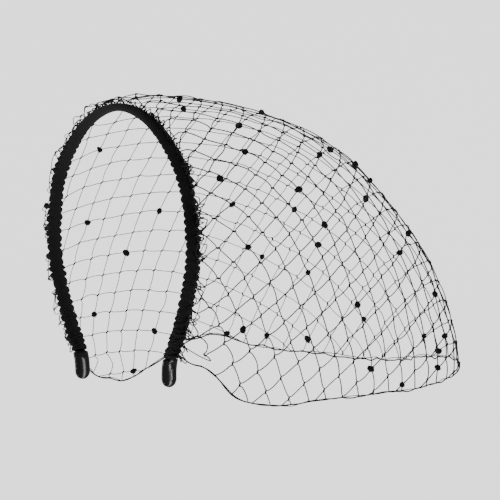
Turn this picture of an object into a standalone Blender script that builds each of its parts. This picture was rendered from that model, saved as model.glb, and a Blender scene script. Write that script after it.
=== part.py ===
"""Veil headband: a slim hair hoop in a gathered cloth cover, with a bag of coarse veiling sewn along it.

The wearer looks along -Y and Z is up. The origin is where the crown of the head touches the cover.
"""
import math

import bmesh
import bpy
import numpy as np
from mathutils import Vector
from mathutils.geometry import delaunay_2d_cdt

MM = 0.001

# Hair hoop, on its centre line
HOOP_HALF_WIDTH = 70 * MM
HOOP_HEIGHT = 160 * MM
HOOP_STEP = 11 * MM
STRIP_WIDTH = 6.0 * MM
STRIP_THICK = 1.8 * MM
TIP_LENGTH = 17 * MM
TIP_WIDTH = 10.0 * MM
TIP_THICK = 3.6 * MM
TIP_ROUND = 5 * MM
TIP_SHOULDER = 1.2 * MM
TIP_GAP = 4 * MM
FINE_STEP = 0.5 * MM
STRIP_SIDES, STRIP_SQUARE = 8, 3

# Shares of the tip's rounding where it gets a ring, and how blunt its very end is
ROUND_STATIONS = (0.0, 0.1, 0.3, 0.6, 1.0)
END_FLAT = 0.02

# Cloth cover
COVER_WIDTH = 8.4 * MM
COVER_THICK = 4.6 * MM
COVER_CLEARANCE = 0.3 * MM
TOOTH_PITCH = 4.3 * MM
TOOTH_DEPTH = 0.9 * MM
FACE_DEPTH = TOOTH_DEPTH / 4
SMOOTH_CROWN = 62 * MM
COVER_SIDES, COVER_SQUARE = 8, 2.3
CROWN = COVER_THICK / 2
COVER_END = CROWN - HOOP_HEIGHT + TIP_LENGTH

# Veil
VEIL_REACH = 226 * MM
VEIL_HALF_WIDTH = 85 * MM
VEIL_LOFT = 2.2 * MM
VEIL_RISE = CROWN + COVER_THICK / 2 + VEIL_LOFT - COVER_END
VEIL_WALL = 1.2 * MM
VEIL_CLEARANCE = 0.35 * MM
MESH_PITCH = 13 * MM
RIBBON_WIDTH = 3.2 * MM
HEADING_WIDTH = 4 * MM
HEADING_STEP = 6 * MM
RIM_WIDTH = 2.6 * MM
RIM_STEP = 7 * MM
COLLAR_STEP = 2 * MM
GATHER_DEPTH = 2.4 * MM
GATHER_PITCH = 13 * MM
CROWN_GATHER = 0.3
RIM_SCALLOP = 2.5 * MM
TUCK_DEPTH = 14 * MM
DOT_DIAMETER = 3.6 * MM
LEAST_GAP = 7 * MM
FLAT_ENOUGH = 0.8 * MM
HINGE = np.array((0, 0, COVER_END))

# Angles of the veil in radians: the heading's turn over the cover, and how far the gathers reach
HEAD_ANGLE = 0.1
GATHER_ANGLE = 0.09

# A gap of the net that spans more radians than this has run off the pattern and back on
WRAPPED = 2

# Where the far hem is tucked in: degrees forward of the hoop, and degrees round the section
TUCK_START = 80
TUCK_SPREAD = 30
TUCK_SIDE = 108
TUCK_REACH = 9

# Net: where its two middle threads cross, and how it is turned there, in degrees
POLE_ANGLE = 40
NET_TURN = 22
NET_KNOTS = 30

# Hoop outline, as shares of its half width and of its height, at equal steps along it
HOOP_TABLE = {
    "half_width": (0, 0.463, 0.854, 0.996, 1.0, 0.817, 0.656, 0.631),
    "drop": (0, 0.055, 0.21, 0.384, 0.567, 0.779, 0.907, 1.0),
}

# Sections of the veil, each in a plane through the line between the ends of the cover:
# degrees forward of the hoop, shares of the reach and of the half width, and how square it is
SECTION_TABLE = {
    "angle": (0, 15, 34, 49, 64, 75, 84, 93, 105),
    "reach": (0.0, 0.073, 0.235, 0.424, 0.587, 0.759, 0.882, 1.0, 0.966),
    "half_width": (0.95, 1.01, 1.02, 1.02, 1.01, 1.0, 1.0, 1.0, 0.99),
    "square": (2.1, 2.15, 2.2, 2.2, 2.25, 2.3, 2.3, 2.3, 2.3),
}
SECTION_MIDDLE = 0.47
SECTION_LOWER = 0.615
SIDE_LIMIT = 119

# Rim of the veil: degrees round a section from the ridge, and degrees forward of the hoop
RIM_TABLE = {
    "round": (-119, -110, -103, -97, -88, -78, -60, 0, 60, 78, 87, 94, 98, 103, 108, 113, 119),
    "angle": (116, 133, 121, 111, 104, 100, 96, 94, 94.6, 93, 90, 96, 103, 112.6, 120.6, 130, 112),
}

# Knots of the net that carry a dot, thread by thread
DOT_CHART = {
    -14: (5,), -13: (6,), -12: (2,), -11: (0,), -10: (5,), -8: (-1, 2, 4, 8, 11), -6: (13,), -5: (2,),
    -4: (-5, 8, 12), -3: (14,), -2: (-1, 4, 5, 8, 11, 13), 0: (3,), 1: (-4,), 2: (-1, 6), 4: (-7, 14),
    6: (-9, 0, 4), 7: (6,), 8: (-6, -2, 10), 9: (-8, 4), 10: (-7, -3), 11: (8,), 13: (-4, 4),
    14: (-5, 0), 16: (-1,),
}


def through(x, xs, ys):
    """Smooth curve through a table: cubic pieces whose slopes come from the neighbouring points."""
    xs, ys = np.asarray(xs, float), np.asarray(ys, float)
    x = np.clip(x, xs[0], xs[-1])
    slope = np.gradient(ys, xs)
    k = np.clip(np.searchsorted(xs, x) - 1, 0, len(xs) - 2)
    gap = xs[k + 1] - xs[k]
    t = (x - xs[k]) / gap
    ends = ys[k] * (1 + 2 * t) * (1 - t) ** 2 + ys[k + 1] * t * t * (3 - 2 * t)
    return ends + gap * t * (1 - t) * (slope[k] * (1 - t) - slope[k + 1] * t)


def unit(v):
    """Vectors brought to length one."""
    return v / (np.linalg.norm(v, axis=-1, keepdims=True) + 1e-12)


def hoop_line(step):
    """Points of the hoop's centre line from the left tip (+X) over the crown to the right, about step apart."""
    share = np.linspace(0, 1, 400)
    wide, drop = HOOP_TABLE["half_width"], HOOP_TABLE["drop"]
    knots = np.arange(-1, len(drop)) / (len(drop) - 1)
    x = HOOP_HALF_WIDTH * through(share, knots, (-wide[1], *wide))
    z = -HOOP_HEIGHT * through(share, knots, (drop[1], *drop)) + CROWN
    half = np.stack([x, 0 * x, z], axis=1)
    line = np.concatenate([half[::-1], half[1:] * (-1, 1, 1)])
    return respaced(line, step)


def respaced(line, step):
    """The line again, with an even count of steps of about the given length."""
    along = np.concatenate([[0], np.cumsum(np.linalg.norm(np.diff(line, axis=0), axis=1))])
    count = 2 * max(1, round(along[-1] / step / 2)) + 1
    at = np.linspace(0, along[-1], count)
    return np.stack([np.interp(at, along, line[:, k]) for k in range(3)], axis=1)


def trimmed(line, end_z):
    """The part of the hoop's line above a height."""
    return line[line[:, 2] > end_z]


def outward(line):
    """Normals of the hoop's line, in its plane and away from the head."""
    run = unit(np.gradient(line, axis=0))
    return np.cross(run, (0, -1, 0))


def new_object(name, mesh, colour, roughness):
    """Links a mesh as a named object with a plain material of its own."""
    obj = bpy.data.objects.new(name, mesh)
    collection.objects.link(obj)
    material = bpy.data.materials.new(name)
    material.use_nodes = True
    shader = material.node_tree.nodes["Principled BSDF"]
    shader.inputs["Base Color"].default_value = (*colour, 1)
    shader.inputs["Roughness"].default_value = roughness
    mesh.materials.append(material)
    return obj


def rings_mesh(name, rings, closed_ends):
    """Mesh through rings of equal point counts; the ends are filled, or else the last ring meets the first."""
    count, sides = rings.shape[:2]
    mesh = bpy.data.meshes.new(name)
    turns = count - 1 if closed_ends else count
    faces = []
    for k in range(turns):
        low, high = k * sides, (k + 1) % count * sides
        for s in range(sides):
            t = (s + 1) % sides
            faces.append((low + s, low + t, high + t, high + s))
    if closed_ends:
        faces.append(tuple(range(sides))[::-1])
        faces.append(tuple(range((count - 1) * sides, count * sides)))
    mesh.from_pydata(rings.reshape(-1, 3).tolist(), [], faces)
    face_out(mesh)
    return mesh


def face_out(mesh):
    """Turns the faces of a closed mesh outwards."""
    work = bmesh.new()
    work.from_mesh(mesh)
    bmesh.ops.recalc_face_normals(work, faces=work.faces)
    work.to_mesh(mesh)
    work.free()


def oval_rings(line, half_width, half_thick, sides, square):
    """Rings of a rounded strip along the hoop: a superellipse across Y and the outward normal."""
    turn = 2 * np.pi * np.arange(sides) / sides
    c, s = np.cos(turn), np.sin(turn)
    wide = np.sign(c) * np.abs(c) ** (2 / square)
    high = np.sign(s) * np.abs(s) ** (2 / square)
    out = outward(line)
    y = np.multiply.outer(half_width, wide)
    n = np.multiply.outer(half_thick, high)
    ring = line[:, None, :] + n[..., None] * out[:, None, :]
    ring[..., 1] += y
    return ring


def make_hoop():
    """Plastic strip that swells into a flat rounded paddle at each end."""
    line = hoop_line(HOOP_STEP)
    ends = hoop_line(FINE_STEP)
    left = ends[ends[:, 2] < COVER_END - COVER_CLEARANCE]
    low = left[left[:, 0] > 0]
    reach = np.concatenate([[0], np.cumsum(np.linalg.norm(np.diff(low, axis=0), axis=1))])
    rounding = TIP_ROUND * np.array(ROUND_STATIONS)
    stations = np.concatenate([rounding, [reach[-1] - TIP_SHOULDER, reach[-1]]])
    paddle = np.stack([np.interp(stations, reach, low[:, k]) for k in range(3)], axis=1)
    round_off = np.sqrt(np.clip(1 - (1 - stations / TIP_ROUND) ** 2, END_FLAT, 1))
    round_off[stations > TIP_ROUND] = 1
    round_off[-1] = STRIP_WIDTH / TIP_WIDTH
    thick_off = np.sqrt(round_off)
    thick_off[-1] = STRIP_THICK / TIP_THICK
    body = trimmed(line, COVER_END + TIP_GAP)
    mirrored = paddle[::-1] * (-1, 1, 1)
    path = np.concatenate([paddle, body, mirrored])
    wide = np.concatenate([round_off * TIP_WIDTH, np.full(len(body), STRIP_WIDTH), round_off[::-1] * TIP_WIDTH])
    thick = np.concatenate([thick_off * TIP_THICK, np.full(len(body), STRIP_THICK), thick_off[::-1] * TIP_THICK])
    rings = oval_rings(path, wide / 2, thick / 2, STRIP_SIDES, STRIP_SQUARE)
    mesh = rings_mesh("hair_hoop", rings, True)
    mesh.shade_smooth()
    mesh.set_sharp_from_angle(angle=math.radians(40))
    return new_object("hair_hoop", mesh, (0.006, 0.006, 0.007), 0.12)


def make_cover():
    """Sleeve round the strip, open at both ends, with gathers that stand out as teeth along both edges."""
    outer = trimmed(hoop_line(TOOTH_PITCH / 2), COVER_END)
    from_crown = np.abs(np.arange(len(outer)) - len(outer) // 2) * TOOTH_PITCH / 2
    fade = np.clip((from_crown - SMOOTH_CROWN / 2) / (SMOOTH_CROWN / 2), 0, 1)
    peak = (np.arange(len(outer)) % 2) * fade
    half_width = COVER_WIDTH / 2 + peak * TOOTH_DEPTH
    half_thick = COVER_THICK / 2 - (1 - peak) * fade * FACE_DEPTH
    outside = oval_rings(outer, half_width, half_thick, COVER_SIDES, COVER_SQUARE)
    inner = trimmed(hoop_line(HOOP_STEP), COVER_END + TOOTH_PITCH)
    inner = np.concatenate([outer[:1], inner, outer[-1:]])
    room = 2 * COVER_CLEARANCE
    inside = oval_rings(inner, np.full(len(inner), (STRIP_WIDTH + room) / 2),
                        np.full(len(inner), (STRIP_THICK + room) / 2), COVER_SIDES, STRIP_SQUARE)
    mesh = rings_mesh("band_cover", np.concatenate([outside, inside[::-1]]), False)
    return new_object("band_cover", mesh, (0.008, 0.008, 0.009), 0.9)


def section(angle):
    """Reach from the hinge line, half width and squareness of the veil's section at an angle."""
    degrees = np.degrees(angle)
    share = through(degrees, SECTION_TABLE["angle"], SECTION_TABLE["reach"])
    reach = VEIL_RISE + (VEIL_REACH - VEIL_RISE) * share
    half = VEIL_HALF_WIDTH * through(degrees, SECTION_TABLE["angle"], SECTION_TABLE["half_width"])
    return reach, half, through(degrees, SECTION_TABLE["angle"], SECTION_TABLE["square"])


def veil_point(angle, round_it):
    """Point of the veil: angle forward of the hoop, and round_it from the ridge (0) towards +X or -X.

    A section is a superellipse about a middle between the hinge line and the ridge.
    """
    reach, half, square = section(angle)
    s, c = np.sin(round_it), np.cos(round_it)
    up = np.where(c >= 0, 1 - SECTION_MIDDLE, SECTION_LOWER)
    q = (np.abs(s) ** square + (np.abs(c) / up) ** square) ** (-1 / square)
    r = (SECTION_MIDDLE + q * c) * reach
    return np.stack([half * q * s, -r * np.sin(angle), r * np.cos(angle)], -1) + HINGE


def unrolled(points):
    """Angle and round_it of the veil's point under each given point, in the same section."""
    rel = points - HINGE
    angle = np.arctan2(-rel[..., 1], rel[..., 2])
    reach, half, _ = section(angle)
    r = np.hypot(rel[..., 1], rel[..., 2])
    return angle, np.arctan2(rel[..., 0] / half, r / reach - SECTION_MIDDLE)


def seated(points):
    """The points brought on to the veil's surface."""
    angle, round_it = unrolled(points)
    limit = math.radians(SIDE_LIMIT + 2)
    return veil_point(angle, np.clip(round_it, -limit, limit))


def lay_net():
    """Knots of the veiling as an index grid, each one pitch from its neighbours along both threads.

    Two threads run straight out from the pole; every other knot is then fixed, a diagonal row at a
    time, by its distance from the two knots before it, as stiff threads with free knots would lie.
    """
    n = NET_KNOTS
    net = np.zeros((2 * n + 1, 2 * n + 1, 3))
    pole_angle, tiny, turn = math.radians(POLE_ANGLE), 1e-3, math.radians(NET_TURN)
    pole = veil_point(pole_angle, 0.0)
    forward = unit(veil_point(pole_angle + tiny, 0.0) - pole)
    side = unit(veil_point(pole_angle, tiny) - pole)
    ways = (side * math.cos(turn) + forward * math.sin(turn), forward * math.cos(turn) - side * math.sin(turn))
    net[n, n] = pole
    for axis in (0, 1):
        for sign in (1, -1):
            here, heading = pole, ways[axis] * sign
            for k in range(1, n + 1):
                there = seated(here + MESH_PITCH * heading)
                there = seated(here + MESH_PITCH * unit(there - here))
                here, heading = there, unit(there - here)
                at = [n, n]
                at[axis] += sign * k
                net[tuple(at)] = there
    for wave in range(2, 2 * n + 1):
        i = np.arange(max(1, wave - n), min(n, wave - 1) + 1)
        for a in (1, -1):
            for b in (1, -1):
                row, col = n + a * i, n + b * (wave - i)
                net[row, col] = meeting(net[row - a, col], net[row, col - b], net[row - a, col - b])
    return net


def meeting(first, second, before):
    """Points one pitch from first and from second on the veil, away from before."""
    guess = first + second - before
    for _ in range(14):
        for knot in (first, second):
            span = guess - knot
            length = np.linalg.norm(span, axis=-1, keepdims=True) + 1e-9
            guess = guess + 0.5 * (MESH_PITCH - length) * span / length
        guess = seated(guess)
    return guess


def rim_angle(round_it):
    """Angle of the veil's rim at a place round the section, with its scallops."""
    degrees = np.degrees(round_it)
    base = np.radians(through(degrees, RIM_TABLE["round"], RIM_TABLE["angle"]))
    reach = np.linalg.norm(veil_point(base, round_it) - HINGE, axis=-1)
    wave = np.sin(round_it * VEIL_REACH / MESH_PITCH)
    return base + RIM_SCALLOP / 2 * wave / np.maximum(reach, VEIL_HALF_WIDTH)


def collar(round_it):
    """Point against the cover's outer face, in the same direction from the section's middle."""
    line = hoop_line(COLLAR_STEP)
    edge = line + outward(line) * (COVER_THICK / 2 + VEIL_CLEARANCE + VEIL_WALL / 2)
    middle = HINGE[2] + SECTION_MIDDLE * VEIL_RISE
    seen = np.arctan2(edge[:, 0] / (VEIL_HALF_WIDTH * SECTION_TABLE["half_width"][0]),
                      (edge[:, 2] - middle) / VEIL_RISE)
    order = np.argsort(seen)
    return np.stack([np.interp(round_it, seen[order], edge[order, k]) for k in range(3)], -1)


def formed(angle, round_it):
    """Place in the finished veil of a pattern point: the gathered heading, the bag, and the tucked hem."""
    bag = veil_point(np.maximum(angle, 0), round_it)
    middle = HINGE + (0, 0, SECTION_MIDDLE * VEIL_RISE)
    near_band = np.exp(-(np.maximum(angle, 0) / GATHER_ANGLE) ** 2)
    waves = 0.5 + 0.5 * np.cos(2 * np.pi * round_it * VEIL_HALF_WIDTH / GATHER_PITCH)
    on_limbs = CROWN_GATHER + (1 - CROWN_GATHER) * np.sin(round_it) ** 2
    puff = GATHER_DEPTH * near_band * waves * on_limbs
    bag = bag + puff[..., None] * unit(bag - middle) * (1, 0, 1)
    below = np.clip((np.degrees(angle) - TUCK_START) / TUCK_SPREAD, 0, 1)
    side = np.exp(-((np.degrees(round_it) - TUCK_SIDE) / TUCK_REACH) ** 2)
    bag[..., 0] -= TUCK_DEPTH * side * below ** 2
    lead = np.clip(-angle / HEAD_ANGLE, 0, 1)[..., None]
    return bag * (1 - lead) + collar(round_it) * lead


def margins(angle, round_it):
    """Distances in metres from the heading, the rim and the gathered corner; positive inside."""
    arm = veil_point(angle, round_it) - HINGE
    r = np.hypot(arm[..., 1], arm[..., 2])
    limit = math.radians(SIDE_LIMIT)
    corner = (limit - np.abs(round_it)) * VEIL_RISE * SECTION_MIDDLE
    return r * angle - HEADING_WIDTH, r * (rim_angle(round_it) - angle) - RIM_WIDTH, corner - RIM_WIDTH


def clipped(gap):
    """The part of a gap, as angle and round_it pairs, that keeps clear of the veil's borders."""
    for which in range(3):
        if len(gap) < 3:
            return gap
        inside = margins(gap[:, 0], gap[:, 1])[which]
        kept = []
        for k in range(len(gap)):
            m = (k + 1) % len(gap)
            if inside[k] > 0:
                kept.append(gap[k])
            if (inside[k] > 0) != (inside[m] > 0):
                share = inside[k] / (inside[k] - inside[m])
                kept.append(gap[k] + share * (gap[m] - gap[k]))
        gap = np.array(kept).reshape(-1, 2)
    return gap


def area_of(points):
    """Area of a nearly flat outline."""
    rel = points - points.mean(axis=0)
    return np.linalg.norm(np.cross(rel, np.roll(rel, -1, axis=0)).sum(axis=0)) / 2


def net_gaps(net):
    """Gaps of the coarse net: each takes two threads by two of the veiling, less a ribbon's width."""
    ring = ((0, 0), (1, 0), (2, 0), (2, 1), (2, 2), (1, 2), (0, 2), (0, 1))
    gaps = []
    for i in range(0, 2 * NET_KNOTS - 1, 2):
        for j in range(0, 2 * NET_KNOTS - 1, 2):
            outline = np.array([net[i + a, j + b] for a, b in ring])
            chord = (np.roll(outline, 1, axis=0) + np.roll(outline, -1, axis=0)) / 2
            bowed = np.linalg.norm(outline - chord, axis=1) > FLAT_ENOUGH
            outline = outline[bowed]
            middle = net[i + 1, j + 1]
            outline = outline + (middle - outline) * RIBBON_WIDTH / 2 / MESH_PITCH
            angle, round_it = unrolled(outline)
            if max(np.ptp(angle), np.ptp(round_it)) > WRAPPED:
                continue
            gap = clipped(np.stack([angle, round_it], axis=1))
            if len(gap) > 2 and area_of(veil_point(*gap.T)) > LEAST_GAP ** 2:
                gaps.append(gap)
    return gaps


def veil_border():
    """Outline of the pattern: along the cover from left to right, then back along the rim."""
    limit = math.radians(SIDE_LIMIT)
    steps = round(2 * limit * VEIL_HALF_WIDTH / HEADING_STEP)
    across = np.linspace(limit, -limit, steps)
    head = np.stack([np.full(steps, -HEAD_ANGLE), across], axis=1)
    fold = np.stack([np.zeros(steps), across], axis=1)
    dense = np.linspace(-limit, limit, 1200)
    rim = np.stack([rim_angle(dense), dense], axis=1)
    shape = veil_point(*rim.T)
    along = np.concatenate([[0], np.cumsum(np.linalg.norm(np.diff(shape, axis=0), axis=1))])
    at = np.linspace(0, along[-1], round(along[-1] / RIM_STEP))
    rim = np.stack([np.interp(at, along, rim[:, k]) for k in range(2)], axis=1)
    return head, fold, rim


def make_veil():
    """Veiling cut as a flat pattern with its gaps, formed into the bag, given its wall and its dots."""
    net = lay_net()
    head, fold, rim = veil_border()
    outline = np.concatenate([head, fold[-1:], rim, fold[:1]])
    loops = [outline] + net_gaps(net)
    points = np.concatenate(loops + [fold[1:-1]])
    edges, start = [], 0
    for loop in loops:
        run = np.arange(len(loop))
        edges += list(zip((start + run).tolist(), (start + np.roll(run, -1)).tolist()))
        start += len(loop)
    flat = [Vector(p) for p in points.tolist()]
    made = delaunay_2d_cdt(flat, edges, [], 2, 1e-7)
    verts, _, faces = made[:3]
    pattern = np.array([tuple(v) for v in verts])
    keep = [f for f in faces if not in_a_gap(pattern[list(f)].mean(axis=0), loops[1:])]
    keep = [f for f in keep if within(pattern[list(f)].mean(axis=0), outline)]
    mesh = bpy.data.meshes.new("veil")
    mesh.from_pydata(formed(pattern[:, 0], pattern[:, 1]).tolist(), [], keep)
    work = bmesh.new()
    work.from_mesh(mesh)
    loose = [v for v in work.verts if not v.link_faces]
    bmesh.ops.delete(work, geom=loose, context="VERTS")
    bmesh.ops.recalc_face_normals(work, faces=work.faces)
    work.to_mesh(mesh)
    work.free()
    veil = new_object("veil", mesh, (0.012, 0.012, 0.013), 0.7)
    wall = veil.modifiers.new("wall", "SOLIDIFY")
    wall.thickness = VEIL_WALL
    wall.offset = 0
    add_dots(veil, net)
    return veil


def within(point, loop):
    """Whether a pattern point lies inside a closed outline, by counting crossings."""
    a, b = loop, np.roll(loop, -1, axis=0)
    spans = (a[:, 1] > point[1]) != (b[:, 1] > point[1])
    cross = a[spans, 0] + (point[1] - a[spans, 1]) * (b[spans, 0] - a[spans, 0]) / (b[spans, 1] - a[spans, 1])
    return (cross > point[0]).sum() % 2 == 1


def in_a_gap(point, gaps):
    """Whether a pattern point lies in one of the gaps; gaps a radian away are passed over."""
    return any(abs(gap[0] - point).max() < 1 and within(point, gap) for gap in gaps)


def add_dots(veil, net):
    """Small round tufts fused to the net at the charted knots."""
    work = bmesh.new()
    for row, columns in DOT_CHART.items():
        for column in columns:
            at = formed(*unrolled(net[NET_KNOTS + row, NET_KNOTS + column]))
            grown = bmesh.ops.create_icosphere(work, subdivisions=1, radius=DOT_DIAMETER / 2)
            bmesh.ops.translate(work, verts=grown["verts"], vec=at)
    mesh = bpy.data.meshes.new("dots")
    work.to_mesh(mesh)
    work.free()
    dots = bpy.data.objects.new("dots", mesh)
    cutters.objects.link(dots)
    dots.display_type = "WIRE"
    dots.hide_render = True
    fuse = veil.modifiers.new("dots", "BOOLEAN")
    fuse.operation = "UNION"
    fuse.solver = "EXACT"
    fuse.object = dots


def new_collection(name):
    """A new collection in the scene."""
    made = bpy.data.collections.new(name)
    bpy.context.scene.collection.children.link(made)
    return made


for old in list(bpy.data.objects):
    bpy.data.objects.remove(old, do_unlink=True)
collection = new_collection("veil_headband")
cutters = new_collection("tools")
make_hoop()
make_cover()
make_veil()
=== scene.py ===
"""The looks of a veil headband: a polished hair hoop, its gathered cover, and the dotted veiling on it."""
import math

import bpy
import numpy as np
from mathutils import Matrix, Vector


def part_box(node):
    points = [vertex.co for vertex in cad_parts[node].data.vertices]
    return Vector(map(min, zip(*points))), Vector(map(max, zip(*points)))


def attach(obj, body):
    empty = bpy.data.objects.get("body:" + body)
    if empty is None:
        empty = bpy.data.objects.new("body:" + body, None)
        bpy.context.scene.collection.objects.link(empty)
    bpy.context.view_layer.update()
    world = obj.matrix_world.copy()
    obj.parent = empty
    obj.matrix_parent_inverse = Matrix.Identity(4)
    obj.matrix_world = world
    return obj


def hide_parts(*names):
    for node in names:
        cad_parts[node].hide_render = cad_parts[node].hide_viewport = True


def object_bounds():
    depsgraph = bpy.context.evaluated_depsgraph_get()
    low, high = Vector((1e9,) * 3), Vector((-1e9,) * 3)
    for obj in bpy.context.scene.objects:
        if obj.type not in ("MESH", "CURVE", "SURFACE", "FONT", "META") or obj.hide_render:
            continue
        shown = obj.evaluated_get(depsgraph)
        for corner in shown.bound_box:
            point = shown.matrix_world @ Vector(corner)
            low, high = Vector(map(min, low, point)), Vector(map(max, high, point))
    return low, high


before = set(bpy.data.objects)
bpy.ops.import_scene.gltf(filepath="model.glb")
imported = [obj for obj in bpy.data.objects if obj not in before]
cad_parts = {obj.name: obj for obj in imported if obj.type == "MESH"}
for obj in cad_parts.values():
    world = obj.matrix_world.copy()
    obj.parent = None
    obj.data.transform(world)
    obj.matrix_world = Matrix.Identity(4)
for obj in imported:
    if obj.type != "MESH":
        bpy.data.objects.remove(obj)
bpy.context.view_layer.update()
MM = 0.001

# Studio. The headband is held up by its crown as a head would hold it, over a pale floor that rises into
# a pale wall all round. One broad lamp hangs over it, two tall strips and two small low lamps mirror in
# the plastic. The camera looks from behind the wearer's right shoulder with a long lens.
EYE_AZIMUTH, EYE_ELEVATION, EYE_ROLL = 235.8, 2.7, -1.4
EYE_DISTANCE = 2.225
LENS_PIXELS = 3842
FRAME_PIXELS = 500
HOOP_MIDDLE_PIXEL = (122.0, 244.6)
FLOOR_DROP, BOWL_RADIUS, BOWL_CORNER = 1.2, 3.6, 1.2
PAPER_TONE, PAPER_GLOW, ROOM_GLOW = 0.3, 1.3, 0.6
low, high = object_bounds()
HEADBAND_MIDDLE = np.array(low + high) / 2


def eye_axes(azimuth, elevation, roll):
    """Right, up and backward axes of a view from an azimuth and elevation, rolled about its sight line."""
    a, e, r = (math.radians(v) for v in (azimuth, elevation, roll))
    back = np.array((math.sin(a) * math.cos(e), -math.cos(a) * math.cos(e), math.sin(e)))
    right = np.array((math.cos(a), math.sin(a), 0.0))
    up = np.cross(back, right)
    return right * math.cos(r) + up * math.sin(r), up * math.cos(r) - right * math.sin(r), back


def aim_camera(target):
    """A camera whose sight line passes beside the target, so that the target falls on its pixel."""
    right, up, back = eye_axes(EYE_AZIMUTH, EYE_ELEVATION, EYE_ROLL)
    place = target + back * EYE_DISTANCE
    across = FRAME_PIXELS / 2 - HOOP_MIDDLE_PIXEL[0]
    down = FRAME_PIXELS / 2 - HOOP_MIDDLE_PIXEL[1]
    look = -back * LENS_PIXELS + right * across - up * down
    look = look / np.linalg.norm(look)
    side = np.cross(look, up)
    side = side / np.linalg.norm(side)
    camera = bpy.data.objects.new("camera", bpy.data.cameras.new("camera"))
    camera.data.sensor_width = 36
    camera.data.lens = 36 * LENS_PIXELS / FRAME_PIXELS
    camera.data.clip_start, camera.data.clip_end = 0.05, 30
    turn = Matrix(np.column_stack([side, np.cross(side, look), -look]).tolist()).to_4x4()
    camera.matrix_world = Matrix.Translation(place.tolist()) @ turn
    bpy.context.scene.collection.objects.link(camera)
    bpy.context.scene.camera = camera


def soft_lamp(name, azimuth, elevation, distance, size, watts):
    """A lamp of a given width and height that faces the middle of the headband."""
    right, up, back = eye_axes(azimuth, elevation, 0)
    lamp = bpy.data.objects.new(name, bpy.data.lights.new(name, "AREA"))
    lamp.data.shape = "RECTANGLE"
    lamp.data.size, lamp.data.size_y = size
    lamp.data.energy = watts
    turn = Matrix(np.column_stack([right, up, back]).tolist()).to_4x4()
    lamp.matrix_world = Matrix.Translation((HEADBAND_MIDDLE + back * distance).tolist()) @ turn
    bpy.context.scene.collection.objects.link(lamp)


def mesh_from(name, points, *face_sets):
    """A mesh from an array of points and arrays of faces, each array with one count of corners."""
    mesh = bpy.data.meshes.new(name)
    points = np.asarray(points, np.float32).reshape(-1, 3)
    corners = np.concatenate([faces.ravel() for faces in face_sets]).astype(np.int32)
    counts = np.concatenate([np.full(len(faces), faces.shape[1]) for faces in face_sets])
    mesh.vertices.add(len(points))
    mesh.vertices.foreach_set("co", points.ravel())
    mesh.loops.add(len(corners))
    mesh.loops.foreach_set("vertex_index", corners)
    mesh.polygons.add(len(counts))
    mesh.polygons.foreach_set("loop_start", np.concatenate([[0], np.cumsum(counts)[:-1]]).astype(np.int32))
    mesh.update(calc_edges=True)
    mesh.shade_smooth()
    return mesh


def grid_faces(rows, sides, first=0):
    """Four-cornered faces between rows of points, each row a closed ring of so many sides."""
    row, side = np.meshgrid(np.arange(rows - 1), np.arange(sides), indexing="ij")
    low, after = first + row * sides, (side + 1) % sides
    return np.stack([low + side, low + after, low + sides + after, low + sides + side], -1).reshape(-1, 4)


def make_floor(level):
    """A round floor that curves up into a wall: a quarter circle carried round the middle."""
    bend = np.linspace(0, math.pi / 2, 17)
    flat = BOWL_RADIUS - BOWL_CORNER
    radius = np.concatenate([[0.02, 1, 2], flat + BOWL_CORNER * np.sin(bend), [BOWL_RADIUS]])
    height = np.concatenate([[0, 0, 0], BOWL_CORNER - BOWL_CORNER * np.cos(bend), [BOWL_RADIUS]])
    turn = np.linspace(0, 2 * math.pi, 96, endpoint=False)
    points = np.stack([radius[:, None] * np.cos(turn), radius[:, None] * np.sin(turn),
                       level + height[:, None] + 0 * turn], -1)
    floor = bpy.data.objects.new("floor", mesh_from("floor", points, grid_faces(len(radius), len(turn))))
    bpy.context.scene.collection.objects.link(floor)
    material = bpy.data.materials.new("pale_paper")
    material.use_nodes = True
    shader = material.node_tree.nodes["Principled BSDF"]
    shader.inputs["Base Color"].default_value = (PAPER_TONE, PAPER_TONE, PAPER_TONE, 1)
    shader.inputs["Roughness"].default_value = 0.9
    shader.inputs["Emission Color"].default_value = (1, 1, 1, 1)
    shader.inputs["Emission Strength"].default_value = PAPER_GLOW
    floor.data.materials.append(material)


hoop_low, hoop_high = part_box("hair_hoop")
aim_camera(np.array((0.0, 0.0, (hoop_low[2] + hoop_high[2]) / 2)))
make_floor(low[2] - FLOOR_DROP)
soft_lamp("lamp_over", 200, 75, 1.6, (0.8, 0.8), 20)
soft_lamp("strip_lamp_left", 159, -10, 1.7, (0.07, 1.7), 70)
soft_lamp("strip_lamp_right", 302, -10, 1.7, (0.12, 1.7), 34)
soft_lamp("low_lamp_left", 175, -52, 1.2, (0.16, 0.16), 9)
soft_lamp("low_lamp_right", 292, -52, 1.2, (0.16, 0.16), 9)
world = bpy.data.worlds.new("room")
world.use_nodes = True
world.node_tree.nodes["Background"].inputs["Color"].default_value = (1, 1, 1, 1)
world.node_tree.nodes["Background"].inputs["Strength"].default_value = ROOM_GLOW
bpy.context.scene.world = world

# Hair hoop. One strip of injection-moulded plastic, polished black, bent to an open hoop. It runs
# inside the cloth cover and shows only at its two ends, which swell into flat rounded paddles.
HOOP_HALF_WIDTH = 70 * MM
HOOP_HEIGHT = 160 * MM
HOOP_SHAPE = {
    "half_width": (0, 0.463, 0.854, 0.996, 1.0, 0.817, 0.656, 0.631),
    "drop": (0, 0.055, 0.21, 0.384, 0.567, 0.779, 0.907, 1.0),
}
STRIP_WIDTH, STRIP_THICK = 6.0 * MM, 1.8 * MM
TIP_LENGTH, TIP_WIDTH, TIP_THICK, TIP_ROUND = 17 * MM, 10.0 * MM, 3.6 * MM, 5 * MM
TIP_SHOULDER = 1.2 * MM
TIP_SIDES, TIP_SQUARE, TIP_BLUNT = 40, 2.7, 0.12
COVER_WIDTH, COVER_THICK, COVER_CLEARANCE = 8.4 * MM, 4.6 * MM, 0.3 * MM
CROWN = COVER_THICK / 2
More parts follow.
